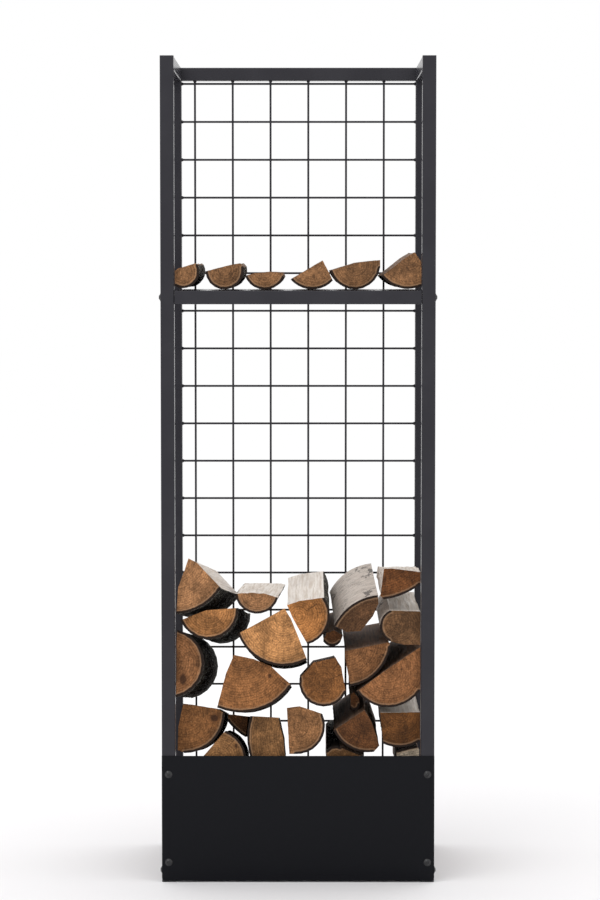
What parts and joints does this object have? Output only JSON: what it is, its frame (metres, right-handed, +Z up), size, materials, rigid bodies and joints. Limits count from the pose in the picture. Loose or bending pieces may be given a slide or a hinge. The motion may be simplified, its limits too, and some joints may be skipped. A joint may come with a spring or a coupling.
{
  "type": "firewood rack",
  "caption": "Tall steel firewood rack with a shelf, a wire grid back and a low front panel, holding split logs that draw out to the front.",
  "frame": {"origin": "on the floor, under the middle of the rack's footprint", "axes": "+X to the right, +Y to the back where the wire grid is, +Z up; the low panel and the logs' near ends face -Y"},
  "size_m": [0.5066, 0.3553, 1.51],
  "materials": {
    "powder_coat": "anthracite powder coat, fine texture, semi-matte",
    "panel_coat": "black-blue powder coat on sheet steel, semi-matte",
    "black_plastic": "matt moulded polyethylene",
    "zinc": "zinc-plated steel",
    "black_screws": "black coated steel, satin",
    "split_wood": "air-dried split firewood, rough sawn ends, bark on the round side"
  },
  "bodies": {
    "rack": {"front_post_left": "powder_coat", "front_post_right": "powder_coat", "rear_post_left": "powder_coat", "rear_post_right": "powder_coat", "post_plugs": "black_plastic", "post_feet": "black_plastic", "side_top_rail_left": "powder_coat", "side_top_rail_right": "powder_coat", "rear_top_rail": "powder_coat", "grid_uprights": "powder_coat", "grid_crosswires": "powder_coat", "shelf_front_rail": "powder_coat", "shelf_rear_rail": "powder_coat", "shelf_end_rail_left": "powder_coat", "shelf_end_rail_right": "powder_coat", "shelf_deck": "powder_coat", "floor_front_rail": "powder_coat", "floor_rear_rail": "powder_coat", "floor_end_rail_left": "powder_coat", "floor_end_rail_right": "powder_coat", "floor_deck": "powder_coat", "rail_nuts": "zinc", "frame_bolts": "black_screws", "front_panel": "panel_coat", "panel_nuts": "zinc", "panel_screws": "black_screws", "bottom_logs": "split_wood", "panel_logs": "split_wood", "inner_log": "split_wood"},
    "shelf_log_1_body": {"shelf_log_1": "split_wood"},
    "shelf_log_2_body": {"shelf_log_2": "split_wood"},
    "shelf_log_3_body": {"shelf_log_3": "split_wood"},
    "shelf_log_4_body": {"shelf_log_4": "split_wood"},
    "shelf_log_5_body": {"shelf_log_5": "split_wood"},
    "shelf_log_6_body": {"shelf_log_6": "split_wood"},
    "log_a1_body": {"log_a1": "split_wood"},
    "log_a2_body": {"log_a2": "split_wood"},
    "log_a3_body": {"log_a3": "split_wood"},
    "log_a4_body": {"log_a4": "split_wood"},
    "log_a5_body": {"log_a5": "split_wood"},
    "log_a6_body": {"log_a6": "split_wood"},
    "log_b1_body": {"log_b1": "split_wood"},
    "log_b2_body": {"log_b2": "split_wood"},
    "log_b3_body": {"log_b3": "split_wood"},
    "log_b4_body": {"log_b4": "split_wood"},
    "log_c1_body": {"log_c1": "split_wood"},
    "log_c2_body": {"log_c2": "split_wood"},
    "log_c3_body": {"log_c3": "split_wood"},
    "log_d1_body": {"log_d1": "split_wood"},
    "log_d4_body": {"log_d4": "split_wood"},
    "log_d5_body": {"log_d5": "split_wood"},
    "log_d6_body": {"log_d6": "split_wood"}
  },
  "joints": [
    {"name": "shelf_log_1_pull", "type": "slide", "parent": "rack", "child": "shelf_log_1_body", "axis": [0, -1, 0], "range_m": [0, 0.3]},
    {"name": "shelf_log_2_pull", "type": "slide", "parent": "rack", "child": "shelf_log_2_body", "axis": [0, -1, 0], "range_m": [0, 0.3]},
    {"name": "shelf_log_3_pull", "type": "slide", "parent": "rack", "child": "shelf_log_3_body", "axis": [0, -1, 0], "range_m": [0, 0.3]},
    {"name": "shelf_log_4_pull", "type": "slide", "parent": "rack", "child": "shelf_log_4_body", "axis": [0, -1, 0], "range_m": [0, 0.3]},
    {"name": "shelf_log_5_pull", "type": "slide", "parent": "rack", "child": "shelf_log_5_body", "axis": [0, -1, 0], "range_m": [0, 0.3]},
    {"name": "shelf_log_6_pull", "type": "slide", "parent": "rack", "child": "shelf_log_6_body", "axis": [0, -1, 0], "range_m": [0, 0.3]},
    {"name": "log_a1_pull", "type": "slide", "parent": "rack", "child": "log_a1_body", "axis": [-0.0895, -0.9836, 0.1564], "range_m": [0, 0.3]},
    {"name": "log_a2_pull", "type": "slide", "parent": "rack", "child": "log_a2_body", "axis": [0, -0.9877, 0.1564], "range_m": [0, 0.3]},
    {"name": "log_a3_pull", "type": "slide", "parent": "rack", "child": "log_a3_body", "axis": [0, -0.9877, 0.1564], "range_m": [0, 0.3]},
    {"name": "log_a4_pull", "type": "slide", "parent": "rack", "child": "log_a4_body", "axis": [0, -1, 0], "range_m": [0, 0.3]},
    {"name": "log_a5_pull", "type": "slide", "parent": "rack", "child": "log_a5_body", "axis": [0, -1, 0], "range_m": [0, 0.3]},
    {"name": "log_a6_pull", "type": "slide", "parent": "rack", "child": "log_a6_body", "axis": [0, -1, 0], "range_m": [0, 0.3]},
    {"name": "log_b1_pull", "type": "slide", "parent": "rack", "child": "log_b1_body", "axis": [-0.0517, -0.9863, 0.1564], "range_m": [0, 0.3]},
    {"name": "log_b2_pull", "type": "slide", "parent": "rack", "child": "log_b2_body", "axis": [0, -0.9877, 0.1564], "range_m": [0, 0.3]},
    {"name": "log_b3_pull", "type": "slide", "parent": "rack", "child": "log_b3_body", "axis": [0, -1, 0], "range_m": [0, 0.3]},
    {"name": "log_b4_pull", "type": "slide", "parent": "rack", "child": "log_b4_body", "axis": [0, -1, 0], "range_m": [0, 0.3]},
    {"name": "log_c1_pull", "type": "slide", "parent": "rack", "child": "log_c1_body", "axis": [-0.0551, -0.9861, 0.1564], "range_m": [0, 0.3]},
    {"name": "log_c2_pull", "type": "slide", "parent": "rack", "child": "log_c2_body", "axis": [0, -0.9877, 0.1564], "range_m": [0, 0.3]},
    {"name": "log_c3_pull", "type": "slide", "parent": "rack", "child": "log_c3_body", "axis": [0, -0.9877, 0.1564], "range_m": [0, 0.3]},
    {"name": "log_d1_pull", "type": "slide", "parent": "rack", "child": "log_d1_body", "axis": [0, -0.9877, 0.1564], "range_m": [0, 0.3]},
    {"name": "log_d4_pull", "type": "slide", "parent": "rack", "child": "log_d4_body", "axis": [0, -0.9877, 0.1564], "range_m": [0, 0.3]},
    {"name": "log_d5_pull", "type": "slide", "parent": "rack", "child": "log_d5_body", "axis": [0, -1, 0], "range_m": [0, 0.3]},
    {"name": "log_d6_pull", "type": "slide", "parent": "rack", "child": "log_d6_body", "axis": [0, -1, 0], "range_m": [0, 0.3]}
  ]
}
